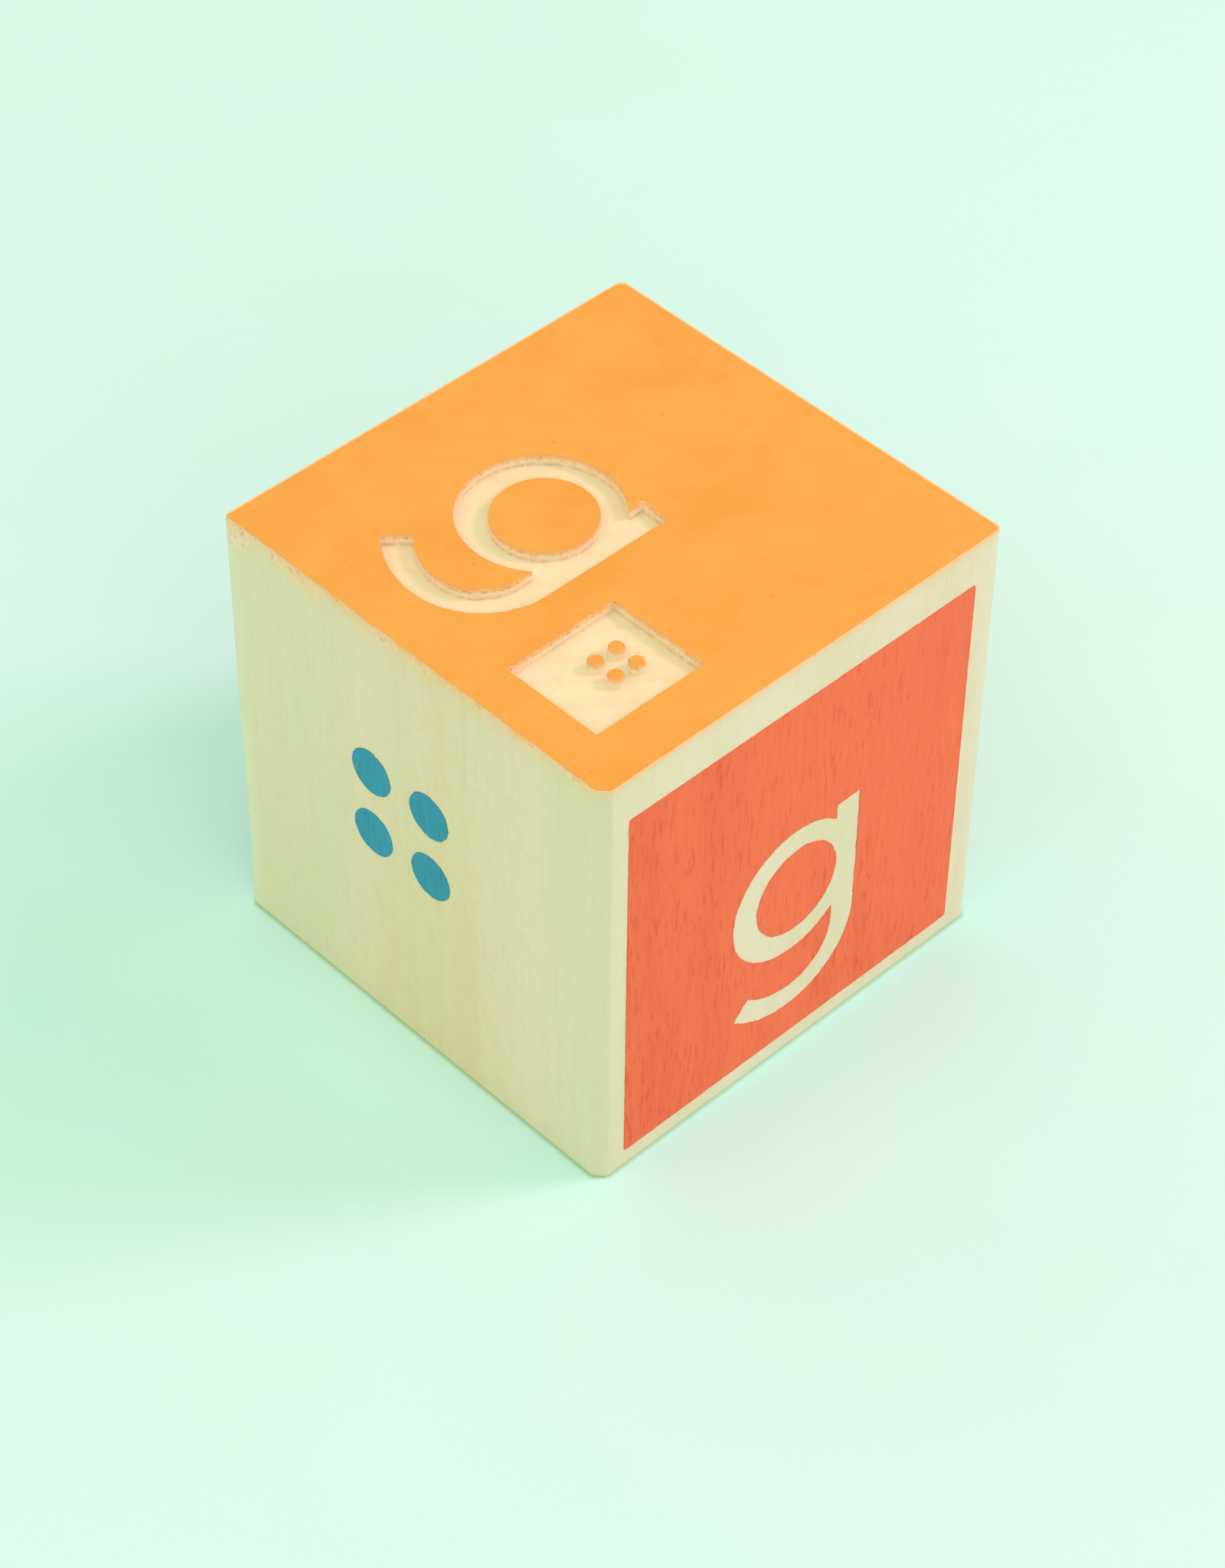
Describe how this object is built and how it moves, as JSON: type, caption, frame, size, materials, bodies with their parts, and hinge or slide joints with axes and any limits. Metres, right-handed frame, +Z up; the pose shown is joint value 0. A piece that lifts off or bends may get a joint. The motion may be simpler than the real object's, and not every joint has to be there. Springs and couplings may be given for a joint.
{
  "type": "alphabet block",
  "caption": "Solid wooden alphabet block with a coated top carved with a letter and a dot-cell pocket, and panels and dots printed on its sides.",
  "frame": {"origin": "middle of the underside, on the surface that the block stands on", "axes": "+Z up, along the grain and out of the coated top; -Y out of the front, which carries the printed panel; -X out of the left face, which carries the printed dots"},
  "size_m": [0.0444, 0.044, 0.0452],
  "materials": {
    "bare_wood": "sanded bare basswood, matt, fine upright grain",
    "orange_ink": "matt orange ink on wood",
    "red_ink": "matt coral red ink on wood, grain showing faintly",
    "blue_ink": "matt teal blue ink on wood, grain showing faintly"
  },
  "bodies": {
    "root": {"wood_block": "bare_wood", "top_coat": "orange_ink", "top_coat_counter": "orange_ink", "dot_cap_1": "orange_ink", "dot_cap_2": "orange_ink", "dot_cap_3": "orange_ink", "dot_cap_4": "orange_ink", "front_panel": "red_ink", "front_panel_counter": "red_ink", "left_dot_1": "blue_ink", "left_dot_2": "blue_ink", "left_dot_3": "blue_ink", "left_dot_4": "blue_ink", "back_panel": "blue_ink", "back_panel_counter": "blue_ink", "right_dot_1": "red_ink", "right_dot_2": "red_ink", "right_dot_3": "red_ink", "right_dot_4": "red_ink"}
  },
  "joints": []
}
